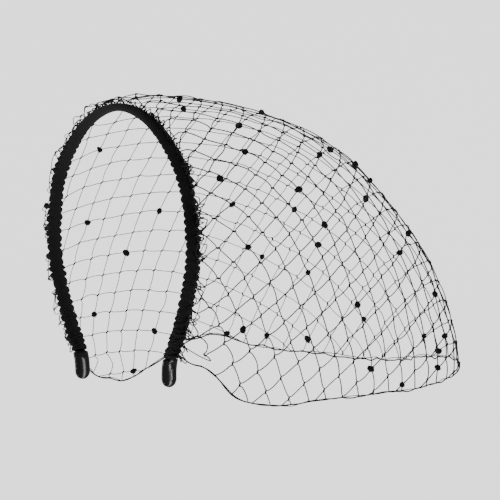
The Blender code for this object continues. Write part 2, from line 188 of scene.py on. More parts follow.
COVER_END = CROWN - HOOP_HEIGHT + TIP_LENGTH


def through(x, xs, ys):
    """Smooth curve through a table: cubic pieces whose slopes come from the neighbouring points."""
    xs, ys = np.asarray(xs, float), np.asarray(ys, float)
    x = np.clip(x, xs[0], xs[-1])
    slope = np.gradient(ys, xs)
    k = np.clip(np.searchsorted(xs, x) - 1, 0, len(xs) - 2)
    gap = xs[k + 1] - xs[k]
    t = (x - xs[k]) / gap
    ends = ys[k] * (1 + 2 * t) * (1 - t) ** 2 + ys[k + 1] * t * t * (3 - 2 * t)
    return ends + gap * t * (1 - t) * (slope[k] * (1 - t) - slope[k + 1] * t)


def unit(v):
    """Vectors of the same directions and of length one."""
    return v / (np.linalg.norm(v, axis=-1, keepdims=True) + 1e-12)


def along_of(line):
    """Distance along a line at each of its points."""
    return np.concatenate([[0], np.cumsum(np.linalg.norm(np.diff(line, axis=0), axis=1))])


def read_at(line, distances):
    """Points of a line at distances along it."""
    along = along_of(line)
    return np.stack([np.interp(distances, along, line[:, k]) for k in range(3)], axis=-1)


def hoop_line(step):
    """The hoop's centre line from the left tip over the crown to the right one, about step apart."""
    share = np.linspace(0, 1, 600)
    wide, drop = HOOP_SHAPE["half_width"], HOOP_SHAPE["drop"]
    knots = np.arange(-1, len(drop)) / (len(drop) - 1)
    x = HOOP_HALF_WIDTH * through(share, knots, (-wide[1], *wide))
    z = -HOOP_HEIGHT * through(share, knots, (drop[1], *drop)) + CROWN
    half = np.stack([x, 0 * x, z], axis=1)
    line = np.concatenate([half[::-1], half[1:] * (-1, 1, 1)])
    length = along_of(line)[-1]
    return read_at(line, np.linspace(0, length, 2 * round(length / step / 2) + 1))


def outward(line):
    """Normals of the hoop's line, in its own plane and away from the head."""
    return np.cross(unit(np.gradient(line, axis=0)), (0, -1, 0))


def round_turn(sides):
    """Angles of so many points round a ring."""
    return 2 * np.pi * np.arange(sides) / sides


def strip_rings(line, half_width, half_thick, turn, square):
    """Rings of a rounded strip: at each point a superellipse, wide along Y and thick along the normal.

    Its half width and half thickness may differ from ring to ring, and from point to point of a ring.
    """
    c, s = np.cos(turn), np.sin(turn)
    wide = np.sign(c) * np.abs(c) ** (2 / square)
    high = np.sign(s) * np.abs(s) ** (2 / square)
    ring = line[:, None, :] + (half_thick * high)[..., None] * outward(line)[:, None, :]
    ring[..., 1] += half_width * wide
    return ring


def capped_faces(rows, sides):
    """Faces of a tube of rings with a fan of faces to an extra point at each end, which come last."""
    side = np.arange(sides)
    after = (side + 1) % sides
    first, last, end = rows * sides, rows * sides + 1, (rows - 1) * sides
    start_fan = np.stack([side, np.full(sides, first), after], -1)
    end_fan = np.stack([end + side, end + after, np.full(sides, last)], -1)
    return grid_faces(rows, sides), np.concatenate([start_fan, end_fan])


def facing_out(mesh):
    """The same mesh with all its faces turned outwards, judged by the sign of its volume."""
    points = np.zeros(len(mesh.vertices) * 3, np.float32)
    mesh.vertices.foreach_get("co", points)
    mesh.calc_loop_triangles()
    corners = np.zeros(len(mesh.loop_triangles) * 3, np.int32)
    mesh.loop_triangles.foreach_get("vertices", corners)
    a, b, c = points.astype(float).reshape(-1, 3)[corners.reshape(-1, 3).T]
    if (a * np.cross(b, c)).sum() < 0:
        mesh.flip_normals()
    return mesh


def add_piece(name, mesh, material, node):
    """A finished piece: linked, given its material, riding with the headband in place of its solid."""
    piece = bpy.data.objects.new(name, mesh)
    bpy.context.scene.collection.objects.link(piece)
    mesh.materials.append(material)
    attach(piece, "root")
    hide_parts(node)
    return piece


def new_material(name, colour, roughness):
    """A Principled material, its node tree and its shader."""
    material = bpy.data.materials.new(name)
    material.use_nodes = True
    shader = material.node_tree.nodes["Principled BSDF"]
    shader.inputs["Base Color"].default_value = (*colour, 1)
    shader.inputs["Roughness"].default_value = roughness
    return material, material.node_tree, shader


def add_node(tree, kind, **inputs):
    """A shader node with some of its inputs set; an underscore stands for a space."""
    node = tree.nodes.new(kind)
    for key, value in inputs.items():
        node.inputs[key.replace("_", " ")].default_value = value
    return node


def polished_plastic():
    """Gloss black with a faint orange-peel ripple and dust-fine scratches that only dull the shine."""
    material, tree, shader = new_material("polished_plastic", (0.001, 0.001, 0.001), 0.09)
    place = tree.nodes.new("ShaderNodeTexCoord")
    peel = add_node(tree, "ShaderNodeTexNoise", Scale=420.0, Detail=2.0)
    wear = add_node(tree, "ShaderNodeTexNoise", Scale=1500.0, Detail=3.0)
    bump = add_node(tree, "ShaderNodeBump", Strength=0.06, Distance=0.0002)
    shine = add_node(tree, "ShaderNodeMapRange", From_Min=0.3, From_Max=0.8, To_Min=0.06, To_Max=0.2)
    tree.links.new(place.outputs["Object"], peel.inputs["Vector"])
    tree.links.new(place.outputs["Object"], wear.inputs["Vector"])
    tree.links.new(peel.outputs["Fac"], bump.inputs["Height"])
    tree.links.new(bump.outputs["Normal"], shader.inputs["Normal"])
    tree.links.new(wear.outputs["Fac"], shine.inputs["Value"])
    tree.links.new(shine.outputs["Result"], shader.inputs["Roughness"])
    shader.inputs["Specular IOR Level"].default_value = 0.08
    return material


def make_hair_hoop():
    """Superellipse rings along the hoop; the width and thickness follow a round end, a paddle and a strip."""
    line = hoop_line(0.4 * MM)
    along = along_of(line)
    from_end = np.minimum(along, along[-1] - along)
    shown = from_end[np.abs(line[:, 2] - (COVER_END - COVER_CLEARANCE)).argmin()]
    stations = np.concatenate([TIP_ROUND * (1 - np.cos(np.linspace(TIP_BLUNT, np.pi / 2, 14))),
                               np.linspace(TIP_ROUND, shown - TIP_SHOULDER, 12)[1:],
                               [shown - 0.4 * TIP_SHOULDER, shown, shown + 2 * MM]])
    middle = np.linspace(shown + 4 * MM, along[-1] - shown - 4 * MM, 120)
    stations = np.concatenate([stations, middle, along[-1] - stations[::-1]])
    near_end = np.minimum(stations, along[-1] - stations)
    rounding = np.sqrt(np.clip(1 - (1 - np.minimum(near_end / TIP_ROUND, 1)) ** 2, 0, 1))
    neck = np.clip((near_end - shown + TIP_SHOULDER) / TIP_SHOULDER, 0, 1)
    wide = rounding * TIP_WIDTH * (1 - neck) + STRIP_WIDTH * neck
    thick = np.sqrt(rounding) * TIP_THICK * (1 - neck) + STRIP_THICK * neck
    rings = strip_rings(read_at(line, stations), wide[:, None] / 2, thick[:, None] / 2, round_turn(TIP_SIDES),
                        TIP_SQUARE)
    ends = np.stack([rings[0].mean(axis=0), rings[-1].mean(axis=0)])
    points = np.concatenate([rings.reshape(-1, 3), ends])
    mesh = facing_out(mesh_from("hair_hoop_fine", points, *capped_faces(*rings.shape[:2])))
    add_piece("polished_hoop", mesh, polished_plastic(), "hair_hoop")


make_hair_hoop()

# Cover. A sleeve of matte black knit drawn over the strip and gathered on its two edge seams, so it is
# smooth over the crown and puckers down both limbs, where every gather stands out as a small tooth.
TOOTH_PITCH, TOOTH_DEPTH, SMOOTH_CROWN = 4.3 * MM, 0.9 * MM, 62 * MM
# Shares and powers: how blunt, slanting, stray and uneven the teeth are, and how far they cross the faces
TOOTH_BLUNT, TOOTH_SLANT, TOOTH_STRAY = 0.45, 0.25, 0.16
TOOTH_UNEVEN = (0.65, 1.15)
EDGE_HILL, FACE_HILL, EDGE_SHARP = 1.2, 0.16, 6
# The gathered limbs are narrower and thinner between their teeth than the smooth crown
GATHER_NARROW, GATHER_THIN = 0.95 * MM, 0.25 * MM
RIPPLE, RIPPLE_PITCH = 0.1, 1.9 * MM
COVER_WALL, COVER_SIDES, COVER_SQUARE, LINING_SQUARE = 1.0 * MM, 56, 2.3, 2.6
# Base colours that follow the relief of knit and thread: painted shade in the hollows, painted highlight on
# the ridges
PAINTED_SHADE_BLACK, PAINTED_HIGHLIGHT_BLACK = (0.0005, 0.0005, 0.0005, 1), (0.006, 0.006, 0.0062, 1)


def matte_knit():
    """Black knit: rows of tiny stitches along the sleeve in bump, a soft fuzz, and no shine; its base colour
    is painted shade in the stitch hollows and painted highlight on the stitch ridges, with a random mottle
    from the fuzz.
    """
    material, tree, shader = new_material("matte_knit", (0.006, 0.006, 0.0065), 0.95)
    uv = tree.nodes.new("ShaderNodeUVMap")
    uv.uv_map = "sleeve"
    rows = add_node(tree, "ShaderNodeTexWave", Scale=700.0, Distortion=1.2, Detail=1.0)
    rows.bands_direction = "X"
    columns = add_node(tree, "ShaderNodeTexWave", Scale=700.0, Distortion=0.6, Detail=1.0)
    columns.bands_direction = "Y"
    stitch = tree.nodes.new("ShaderNodeMath")
    stitch.operation = "MULTIPLY"
    fuzz = add_node(tree, "ShaderNodeTexNoise", Scale=2500.0, Detail=4.0)
    fuzz_place = tree.nodes.new("ShaderNodeTexCoord")
    height = tree.nodes.new("ShaderNodeMath")
    height.operation = "MULTIPLY_ADD"
    height.inputs[1].default_value = 0.5
    bump = add_node(tree, "ShaderNodeBump", Strength=0.6, Distance=0.0003)
    painted_shade_ramp = tree.nodes.new("ShaderNodeValToRGB")
    painted_shade_ramp.color_ramp.elements[0].color = PAINTED_SHADE_BLACK
    painted_shade_ramp.color_ramp.elements[1].color = PAINTED_HIGHLIGHT_BLACK
    for wave, link in ((rows, 0), (columns, 1)):
        tree.links.new(uv.outputs["UV"], wave.inputs["Vector"])
        tree.links.new(wave.outputs["Fac"], stitch.inputs[link])
    tree.links.new(fuzz_place.outputs["Object"], fuzz.inputs["Vector"])
    tree.links.new(fuzz.outputs["Fac"], height.inputs[0])
    tree.links.new(stitch.outputs["Value"], height.inputs[2])
    tree.links.new(height.outputs["Value"], bump.inputs["Height"])
    # The relief also sets the base colour: painted shade in the stitch hollows, painted highlight on the
    # ridges, with the fuzz's random mottle
    tree.links.new(height.outputs["Value"], painted_shade_ramp.inputs["Fac"])
    tree.links.new(bump.outputs["Normal"], shader.inputs["Normal"])
    tree.links.new(painted_shade_ramp.outputs["Color"], shader.inputs["Base Color"])
    shader.inputs["Specular IOR Level"].default_value = 0.06
    return material


def tooth_wave(phase):
    """A wave from 0 to 1 of broad blunt hills with narrow notches: about the root of a sine's size."""
    return np.abs(np.sin(np.pi * phase)) ** TOOTH_BLUNT


def make_band_cover():
    """Sleeve of rings; edges carry the tooth wave, and folds between the teeth cross the faces aslant."""
    rng = np.random.default_rng(5)
    line = hoop_line(0.36 * MM)
    line = line[line[:, 2] > COVER_END]
    along = along_of(line)
    from_crown = along - along[-1] / 2
    fade = np.clip((np.abs(from_crown) - SMOOTH_CROWN / 2) / (SMOOTH_CROWN / 2), 0, 1)
    teeth = round(along[-1] / TOOTH_PITCH) + 2
    uneven = np.interp(along / TOOTH_PITCH, np.arange(teeth), rng.normal(0, TOOTH_STRAY, teeth))
    depth = np.interp(along / TOOTH_PITCH, np.arange(teeth), rng.uniform(*TOOTH_UNEVEN, teeth))
    fade = fade[:, None]
    turn = round_turn(COVER_SIDES)
    phase = (from_crown / TOOTH_PITCH + uneven)[:, None]
    lean = 0.5 * np.cos(turn)[None, :] + 0.12 * np.sin(2 * turn + 1)[None, :]
    gather = tooth_wave(phase + TOOTH_SLANT * lean) * fade * depth[:, None]
    at_edge = np.abs(np.cos(turn))[None, :] ** EDGE_SHARP
    hill = gather * (EDGE_HILL * at_edge + FACE_HILL)
    ripple = RIPPLE * np.sin(2 * np.pi * (along[:, None] / RIPPLE_PITCH + 3 * lean)) * (1 - 0.6 * fade)
    half_width = COVER_WIDTH / 2 - GATHER_NARROW * fade + TOOTH_DEPTH * (2 * hill + 0.15 * ripple)
    half_thick = COVER_THICK / 2 - GATHER_THIN * fade + TOOTH_DEPTH * (0.7 * hill + 0.35 * ripple)
    outside = strip_rings(line, half_width, half_thick, turn, COVER_SQUARE)
    inside = strip_rings(line[::6], COVER_WIDTH / 2 - COVER_WALL, COVER_THICK / 2 - COVER_WALL, turn,
                         LINING_SQUARE)
    rings = np.concatenate([outside, inside[::-1], outside[:1]])
    faces = grid_faces(len(rings), COVER_SIDES)
    last = (len(rings) - 1) * COVER_SIDES
    faces = np.where(faces >= last, faces - last, faces)
    mesh = mesh_from("band_cover_fine", rings[:-1], faces)
    corner = faces.ravel()
    row, side = corner // COVER_SIDES, corner % COVER_SIDES
    reach = np.concatenate([along, np.zeros(len(inside))])
    side_width = 2 * (COVER_WIDTH + COVER_THICK) / COVER_SIDES
    uv = np.stack([reach[row], side * side_width], axis=-1)
    mesh.uv_layers.new(name="sleeve").data.foreach_set("uv", uv.ravel().astype(np.float32))
    add_piece("gathered_cover", facing_out(mesh), matte_knit(), "band_cover")


make_band_cover()

# Veiling. One length of black diamond net, about 0.53 x 0.31 m laid flat, twisted nylon thread knotted at
# every crossing. It is gathered to 0.38 m along the outer side of the cover and falls forward as an open
# bag. Bare threads have far less surface than the cloth they make.
VEIL_REACH, VEIL_HALF_WIDTH, VEIL_RISE = 226 * MM, 85 * MM, 147.5 * MM
# Sections of the bag at degrees forward of upright, about a line between the cover's two ends
SECTIONS = {
    "angle": (0, 15, 34, 49, 64, 75, 84, 93, 105),
    "reach": (0.0, 0.073, 0.235, 0.424, 0.587, 0.759, 0.882, 1.0, 0.966),
    "half_width": (0.95, 1.01, 1.02, 1.02, 1.01, 1.0, 1.0, 1.0, 0.99),
    "square": (2.1, 2.15, 2.2, 2.2, 2.25, 2.3, 2.3, 2.3, 2.3),
}
SECTION_MIDDLE, SECTION_LOWER = 0.47, 0.615
SIDE_LIMIT, HEAD_ANGLE = 119, 0.1
# The rim lies this many degrees forward, at these degrees round the section from the crown
RIM = {
    "round": (-119, -110, -103, -97, -88, -78, -60, 0, 60, 78, 87, 94, 98, 103, 108, 113, 119),
    "angle": (116, 133, 121, 111, 104, 100, 96, 94, 94.6, 93, 90, 96, 103, 112.6, 120.6, 130, 112),
}
# The net is laid from a pole on the bag, turned a little; its thread is finer on the wearer's left
MESH_PITCH, NET_KNOTS = 13 * MM, 30
POLE_ANGLE, NET_TURN = 40, 22
THREAD_NEAR, THREAD_FAR = 0.70 * MM, 0.46 * MM
THREAD_SIDES, THREAD_BOW = 6, 0.35 * MM
# A thread has points at these distances from a knot, where it winds one and a half turns round the other
FROM_KNOT = np.array((0, 0.22, 0.45, 0.7, 0.95, 1.3, 1.8, 2.6, 4.2)) * MM
KNOT_LENGTH, KNOT_TURNS = 1.3 * MM, 1.5
# Knots stray a little everywhere, and more where the net puckers close to the cover
PUCKER, SLACK = 3.0 * MM, 0.22 * MM
PUCKER_ANGLE, PUCKER_SLACK = 0.16, 5
# The far hem is tucked in round one place, in degrees, and the net is gathered in waves along the cover
TUCK_DEPTH, TUCK_START, TUCK_SPREAD, TUCK_SIDE, TUCK_REACH = 14 * MM, 80, 30, 108, 9
GATHER_DEPTH, GATHER_PITCH, CROWN_GATHER, GATHER_ANGLE = 2.4 * MM, 13 * MM, 0.3, 0.09
HEADING_LIFT, LEAST_REACH = 0.2 * MM, 20 * MM
# Two knots share a thread if they are about a pitch apart, and not past the pattern's end in either angle
KNOT_STRETCH, WRAPPED_ANGLE, WRAPPED_ROUND = 0.3, 1.5, 1.2
HINGE = np.array((0, 0, COVER_END))
BAG_HEART = np.array((0, -80 * MM, -85 * MM))


def section(angle):
    """Reach from the hinge line, half width and squareness of the veil's section at an angle."""
    degrees = np.degrees(angle)
    share = through(degrees, SECTIONS["angle"], SECTIONS["reach"])
    half = VEIL_HALF_WIDTH * through(degrees, SECTIONS["angle"], SECTIONS["half_width"])
    square = through(degrees, SECTIONS["angle"], SECTIONS["square"])
    return VEIL_RISE + (VEIL_REACH - VEIL_RISE) * share, half, square


def veil_point(angle, round_it):
    """Point of the bag: a superellipse about the section's middle, in a plane turned forward by the angle."""
    reach, half, square = section(angle)
    s, c = np.sin(round_it), np.cos(round_it)
    up = np.where(c >= 0, 1 - SECTION_MIDDLE, SECTION_LOWER)
    q = (np.abs(s) ** square + (np.abs(c) / up) ** square) ** (-1 / square)
    r = (SECTION_MIDDLE + q * c) * reach
    return np.stack([half * q * s, -r * np.sin(angle), r * np.cos(angle)], -1) + HINGE


def unrolled(points):
    """Angle and round_it of the bag's point under each given point, in the same section."""
    rel = points - HINGE
    angle = np.arctan2(-rel[..., 1], rel[..., 2])
    reach, half, _ = section(angle)
    r = np.hypot(rel[..., 1], rel[..., 2])
    return angle, np.arctan2(rel[..., 0] / half, r / reach - SECTION_MIDDLE)


def seated(points):
    """The points brought on to the bag."""
    angle, round_it = unrolled(points)
    limit = math.radians(SIDE_LIMIT + 2)
    return veil_point(angle, np.clip(round_it, -limit, limit))


def meeting(first, second, before):
    """Points one pitch from first and from second on the bag, away from before."""
    guess = first + second - before
    for _ in range(14):
        for knot in (first, second):
            span = guess - knot
            length = np.linalg.norm(span, axis=-1, keepdims=True) + 1e-9
            guess = guess + 0.5 * (MESH_PITCH - length) * span / length
        guess = seated(guess)
    return guess


def lay_net():
    """Knots as an index grid, each one pitch from its neighbours.

    Two threads run straight from the pole, and each other knot, a diagonal row at a time, is where two
    pitches meet on the bag.
    """
    n = NET_KNOTS
    net = np.zeros((2 * n + 1, 2 * n + 1, 3))
    pole_angle, tiny, turn = math.radians(POLE_ANGLE), 1e-3, math.radians(NET_TURN)
    pole = veil_point(pole_angle, 0.0)
    forward = unit(veil_point(pole_angle + tiny, 0.0) - pole)
    side = unit(veil_point(pole_angle, tiny) - pole)
    c, s = math.cos(turn), math.sin(turn)
    ways = (side * c + forward * s, forward * c - side * s)
    net[n, n] = pole
    for axis in (0, 1):
        for sign in (1, -1):
            here, heading = pole, ways[axis] * sign
            for k in range(1, n + 1):
                there = seated(here + MESH_PITCH * heading)
                there = seated(here + MESH_PITCH * unit(there - here))
                here, heading = there, unit(there - here)
                at = [n, n]
                at[axis] += sign * k
                net[tuple(at)] = there
    for wave in range(2, 2 * n + 1):
        i = np.arange(max(1, wave - n), min(n, wave - 1) + 1)
        for a in (1, -1):
            for b in (1, -1):
                row, col = n + a * i, n + b * (wave - i)
                net[row, col] = meeting(net[row - a, col], net[row, col - b], net[row - a, col - b])
    return net


def rim_angle(round_it):
    """Angle of the veil's rim at a place round the section."""
    return np.radians(through(np.degrees(round_it), RIM["round"], RIM["angle"]))


def cover_edge(round_it):
    """Point on the cover's outer face, in the same direction from the section's middle."""
    line = hoop_line(2 * MM)
    edge = line + outward(line) * (COVER_THICK / 2 + HEADING_LIFT)
    middle = HINGE[2] + SECTION_MIDDLE * VEIL_RISE
    half = VEIL_HALF_WIDTH * SECTIONS["half_width"][0]
    seen = np.arctan2(edge[:, 0] / half, (edge[:, 2] - middle) / VEIL_RISE)
    order = np.argsort(seen)
    return np.stack([np.interp(round_it, seen[order], edge[order, k]) for k in range(3)], -1)


def formed(angle, round_it):
    """Place in the finished veil of a point of the bag: gathered at the cover, tucked in at the far hem."""
    bag = veil_point(np.maximum(angle, 0), round_it)
    middle = HINGE + (0, 0, SECTION_MIDDLE * VEIL_RISE)
    near_band = np.exp(-(np.maximum(angle, 0) / GATHER_ANGLE) ** 2)
    waves = 0.5 + 0.5 * np.cos(2 * np.pi * round_it * VEIL_HALF_WIDTH / GATHER_PITCH)
    on_limbs = CROWN_GATHER + (1 - CROWN_GATHER) * np.sin(round_it) ** 2
    bag = bag + (GATHER_DEPTH * near_band * waves * on_limbs)[..., None] * unit(bag - middle) * (1, 0, 1)
    below = np.clip((angle - np.radians(TUCK_START)) / np.radians(TUCK_SPREAD), 0, 1)
    side = np.exp(-((np.degrees(round_it) - TUCK_SIDE) / TUCK_REACH) ** 2)
    bag[..., 0] -= TUCK_DEPTH * side * below ** 2
    lead = np.clip(-angle / HEAD_ANGLE, 0, 1)[..., None]
    return bag * (1 - lead) + cover_edge(round_it) * lead


def inside_by(angle, round_it):
    """How far inside the veil's borders a point of the bag lies: the least of three signed distances."""
    arm = veil_point(angle, round_it) - HINGE
    r = np.hypot(arm[..., 1], arm[..., 2])
    corner = (math.radians(SIDE_LIMIT) - np.abs(round_it)) * VEIL_RISE * SECTION_MIDDLE
    head = (angle + HEAD_ANGLE) * np.maximum(r, LEAST_REACH)
    return np.minimum(np.minimum(head, r * (rim_angle(round_it) - angle)), corner)


def lidded_tubes(name, rings):
    """One mesh of many closed tubes from their rings of points, with a flat lid on both ends of each."""
    count, steps, sides = rings.shape[:3]
    first = (np.arange(count) * steps * sides)[:, None, None]
    walls = (grid_faces(steps, sides)[None] + first).reshape(-1, 4)
    lid = np.arange(sides)
    lids = np.stack([lid[::-1], lid + (steps - 1) * sides])
    return facing_out(mesh_from(name, rings, walls, (lids[None] + first).reshape(-1, sides)))


def strand_mesh(name, paths, radius, sides=THREAD_SIDES):
    """Closed tubes along many paths of equal point count: a ring across each point, both ends filled."""
    count, steps = paths.shape[:2]
    run = unit(np.gradient(paths, axis=1))
    out = paths - BAG_HEART
    normal = unit(out - (out * run).sum(-1, keepdims=True) * run)
    cross = np.cross(run, normal)
    turn = round_turn(sides)
    radius = np.broadcast_to(np.asarray(radius, float), (count, steps))
    ring = paths[:, :, None] + radius[..., None, None] * (
        np.cos(turn)[:, None] * normal[:, :, None] + np.sin(turn)[:, None] * cross[:, :, None])
    return lidded_tubes(name, ring)


def thread_size(paths):
    """Half the thread's thickness at each point: finer toward the wearer's left."""
    share = np.clip(0.5 + paths[..., 0] / (1.6 * VEIL_HALF_WIDTH), 0, 1)
    return (THREAD_NEAR * (1 - share) + THREAD_FAR * share) / 2


def knot_frames(place):
    """Centre, axis, side and normal of each knot; the axis halves the sharper angle between its threads."""
    first, second = (unit(np.gradient(place, axis=k)) for k in (0, 1))
    sharp = np.where((first * second).sum(-1, keepdims=True) < 0, -1, 1)
    axis = unit(first + sharp * second)
    side = unit(first - (first * axis).sum(-1, keepdims=True) * axis)
    return np.stack([place, axis, side, np.cross(axis, side)])


def knotted(path, gone, away, knot, lever):
    """A path drawn on to its knot's axis, where it winds round the other thread before it leaves.

    gone is the distance from the knot at each point, away the way the path leaves, and lever half the
    thread's thickness, which is negative for the second thread of the knot.
    """
    centre, axis, side, normal = (part[:, None] for part in knot)
    reach = gone * np.sign((away[:, None] * axis).sum(-1))
    phase = -2 * np.pi * KNOT_TURNS * reach / KNOT_LENGTH
    wound = centre + reach[..., None] * axis + lever * (
        np.sin(phase)[..., None] * side + np.cos(phase)[..., None] * normal)
    share = np.clip((gone - KNOT_LENGTH / 2) / KNOT_LENGTH, 0, 1)[..., None]
    share = share * share * (3 - 2 * share)
    return wound * (1 - share) + path * share


def loose_knots(angle, round_it, rng):
    """How far each knot strays from the smooth bag: a little everywhere, and far where the gathers pucker."""
    place = formed(angle, round_it)
    middle = HINGE + (0, 0, SECTION_MIDDLE * VEIL_RISE)
    out = unit(place - middle)
    free = np.clip(1 + angle / HEAD_ANGLE, 0, 1)
    near = np.exp(-(angle / PUCKER_ANGLE) ** 2) * free
    stray = rng.normal(0, 1, place.shape) * (SLACK * (1 + PUCKER_SLACK * near))[..., None]
    puff = rng.uniform(-0.15, 1, angle.shape) * PUCKER * near
    return place + (stray + puff[..., None] * out) * free[..., None]


def net_threads(net, angle, round_it, place, thread, rng):
    """Paths of one family of threads, knot to knot and cut off at the veil's borders, and their cut ends."""
    depth = inside_by(angle, round_it)
    smooth = formed(angle, round_it)
    frames = knot_frames(place)
    low, high = [slice(None)] * 2, [slice(None)] * 2
    low[thread], high[thread] = slice(0, -1), slice(1, None)
    low, high = tuple(low), tuple(high)
    span = np.linalg.norm(net[high] - net[low], axis=-1)
    use = (np.abs(span / MESH_PITCH - 1) < KNOT_STRETCH) & ((depth[low] > 0) | (depth[high] > 0))
    use &= np.abs(angle[high] - angle[low]) < WRAPPED_ANGLE
    use &= np.abs(round_it[high] - round_it[low]) < WRAPPED_ROUND

    def pick(grid, side):
        """What the grid holds at one end of each length of thread in use."""
        return grid[side][use]

    d0, d1 = pick(depth, low), pick(depth, high)
    start = np.where(d0 < 0, d0 / (d0 - d1), 0)[:, None]
    stop = np.where(d1 < 0, d0 / (d0 - d1), 1)[:, None]
    near_end = FROM_KNOT / MESH_PITCH
    t = start + (stop - start) * np.concatenate([near_end, [0.5], 1 - near_end[::-1]])
    ang = pick(angle, low)[:, None] * (1 - t) + pick(angle, high)[:, None] * t
    rnd = pick(round_it, low)[:, None] * (1 - t) + pick(round_it, high)[:, None] * t
    off0, off1 = (pick(place - smooth, side)[:, None] for side in (low, high))
    bow = rng.normal(0, THREAD_BOW, off0.shape) * np.sin(np.pi * t)[..., None]
    path = formed(ang, rnd) + off0 * (1 - t[..., None]) + off1 * t[..., None] + bow
    lever = (1 - 2 * thread) * THREAD_NEAR / 2
    ahead = pick(place, high) - pick(place, low)
    for side, gone, away, inside in ((low, t, ahead, d0 > 0), (high, 1 - t, -ahead, d1 > 0)):
        knot = np.stack([pick(part, side) for part in frames])
        tied = knotted(path, gone * MESH_PITCH, away, knot, lever)
        path = np.where(inside[:, None, None], tied, path)
    ends = np.stack([np.where(d0 < 0, rnd[:, 0], np.nan), np.where(d1 < 0, rnd[:, -1], np.nan)])
    tips = np.stack([np.where(d0 < 0, ang[:, 0], np.nan), np.where(d1 < 0, ang[:, -1], np.nan)])
    cut = np.isfinite(ends)
    return path, np.stack([tips[cut], ends[cut]], axis=-1)


def net_thread():
    """Dull black nylon: its two plies show as a fine slant in bump, and in a base colour of painted shade
    between the plies and painted highlight along them, with hardly any sheen.
    """
    material, tree, shader = new_material("net_thread", (0.003, 0.003, 0.0032), 0.7)
    place = tree.nodes.new("ShaderNodeTexCoord")
    twist = add_node(tree, "ShaderNodeTexWave", Scale=1400.0, Distortion=2.0, Detail=1.0)
    bump = add_node(tree, "ShaderNodeBump", Strength=0.5, Distance=0.0001)
    painted_shade_ramp = tree.nodes.new("ShaderNodeValToRGB")
    painted_shade_ramp.color_ramp.elements[0].color = PAINTED_SHADE_BLACK
    painted_shade_ramp.color_ramp.elements[1].color = PAINTED_HIGHLIGHT_BLACK
    tree.links.new(place.outputs["Object"], twist.inputs["Vector"])
    tree.links.new(twist.outputs["Fac"], bump.inputs["Height"])
    # The twist also sets the base colour: painted shade between the plies, painted highlight along them
    tree.links.new(twist.outputs["Fac"], painted_shade_ramp.inputs["Fac"])
    tree.links.new(painted_shade_ramp.outputs["Color"], shader.inputs["Base Color"])
    tree.links.new(bump.outputs["Normal"], shader.inputs["Normal"])
    shader.inputs["Specular IOR Level"].default_value = 0.05
    return material


def add_strands(name, paths, radius, sides=THREAD_SIDES):
    """A piece of black thread that takes its place in the veil."""
    add_piece(name, strand_mesh(name, paths, radius, sides), thread_black, "veil")


net = lay_net()
thread_black = net_thread()
net_angle, net_round = unrolled(net)
knots = loose_knots(net_angle, net_round, np.random.default_rng(3))
cut_ends = []
for thread, name in ((0, "veiling_first_threads"), (1, "veiling_second_threads")):
    paths, ends = net_threads(net, net_angle, net_round, knots, thread, np.random.default_rng(7 + thread))
    cut_ends.append(ends)
    add_strands(name, paths, thread_size(paths))

# Selvedge. A slightly stouter thread runs along the rim from cut end to cut end of the net and bellies
# out a little between them; a finer one whips round it.
RIM_THREAD, RIM_WHIP = 0.85 * MM, 0.5 * MM
RIM_BELLY, RIM_STRAY, RIM_STEP = 1.6 * MM, 0.8 * MM, 0.9 * MM
# Degrees past which a cut end is on the rim, radians between two ends at least and for a full belly
RIM_FROM, RIM_LEAST, RIM_FULL, RIM_WAVES = 60, 0.012, 0.1, 90
RIM_POINTS, RIM_REACH, RIM_FOOT = 4000, 40 * MM, 2 * MM
FINE_LINE = 0.5 * MM


def respaced(line, step):
    """The line as one path with a point at every step along it."""
    return read_at(line, np.arange(0, along_of(line)[-1], step))[None]


def rim_line(ends, belly, stray, rng):
    """Rim through the cut ends, from one foot of the cover to the other.

    Between two cut ends the angle grows by a parabola, and both ends sag by a sine on the way to the cover.
    """
    rim_ends = ends[ends[:, 0] > math.radians(RIM_FROM)]
    stops = np.unique(np.round(rim_ends[:, 1], 4))
    limit = math.radians(SIDE_LIMIT)
    stops = np.concatenate([[-limit], stops[np.concatenate([[True], np.diff(stops) > RIM_LEAST])], [limit]])
    turn = np.linspace(-limit, limit, RIM_POINTS)
    k = np.clip(np.searchsorted(stops, turn) - 1, 0, len(stops) - 2)
    f = (turn - stops[k]) / (stops[k + 1] - stops[k])
    swell = np.minimum((stops[k + 1] - stops[k]) / RIM_FULL, 1) * rng.uniform(0.3, 1, len(stops))[k]
    rim = rim_angle(turn)
    r = np.linalg.norm(veil_point(rim, turn) - HINGE, axis=-1)
    angle = rim + belly * swell * 4 * f * (1 - f) / np.maximum(r, RIM_REACH)
    waves = np.linspace(-limit, limit, RIM_WAVES)
    wander = np.stack([np.interp(turn, waves, rng.normal(0, stray, RIM_WAVES)) for _ in range(3)], -1)
    rim = formed(angle, turn) + wander * 0.5
    line = hoop_line(FINE_LINE)
    foot = line[np.abs(line[:, 2] - COVER_END - RIM_FOOT).argsort()[:8]]
    t = np.linspace(0, 1, 60)[:, None]
    ends_in = []
    for point in (rim[0], rim[-1]):
        start = foot[foot[:, 0] * point[0] > 0][0] - (0, COVER_WIDTH / 2, 0)
        sag = RIM_BELLY * np.sin(np.pi * t) * (0, 0, -1)
        ends_in.append(start * (1 - t) + point * t + sag)
    return np.concatenate([ends_in[0], rim[1:-1], ends_in[1][::-1]])


rim_ends = np.concatenate(cut_ends)
main_rim = rim_line(rim_ends, RIM_BELLY, RIM_STRAY, np.random.default_rng(11))
add_strands("selvedge", respaced(main_rim, RIM_STEP), RIM_THREAD / 2)
whip = rim_line(rim_ends, -0.6 * RIM_BELLY, RIM_STRAY, np.random.default_rng(12))
add_strands("selvedge_whip", respaced(whip, RIM_STEP), RIM_WHIP / 2)

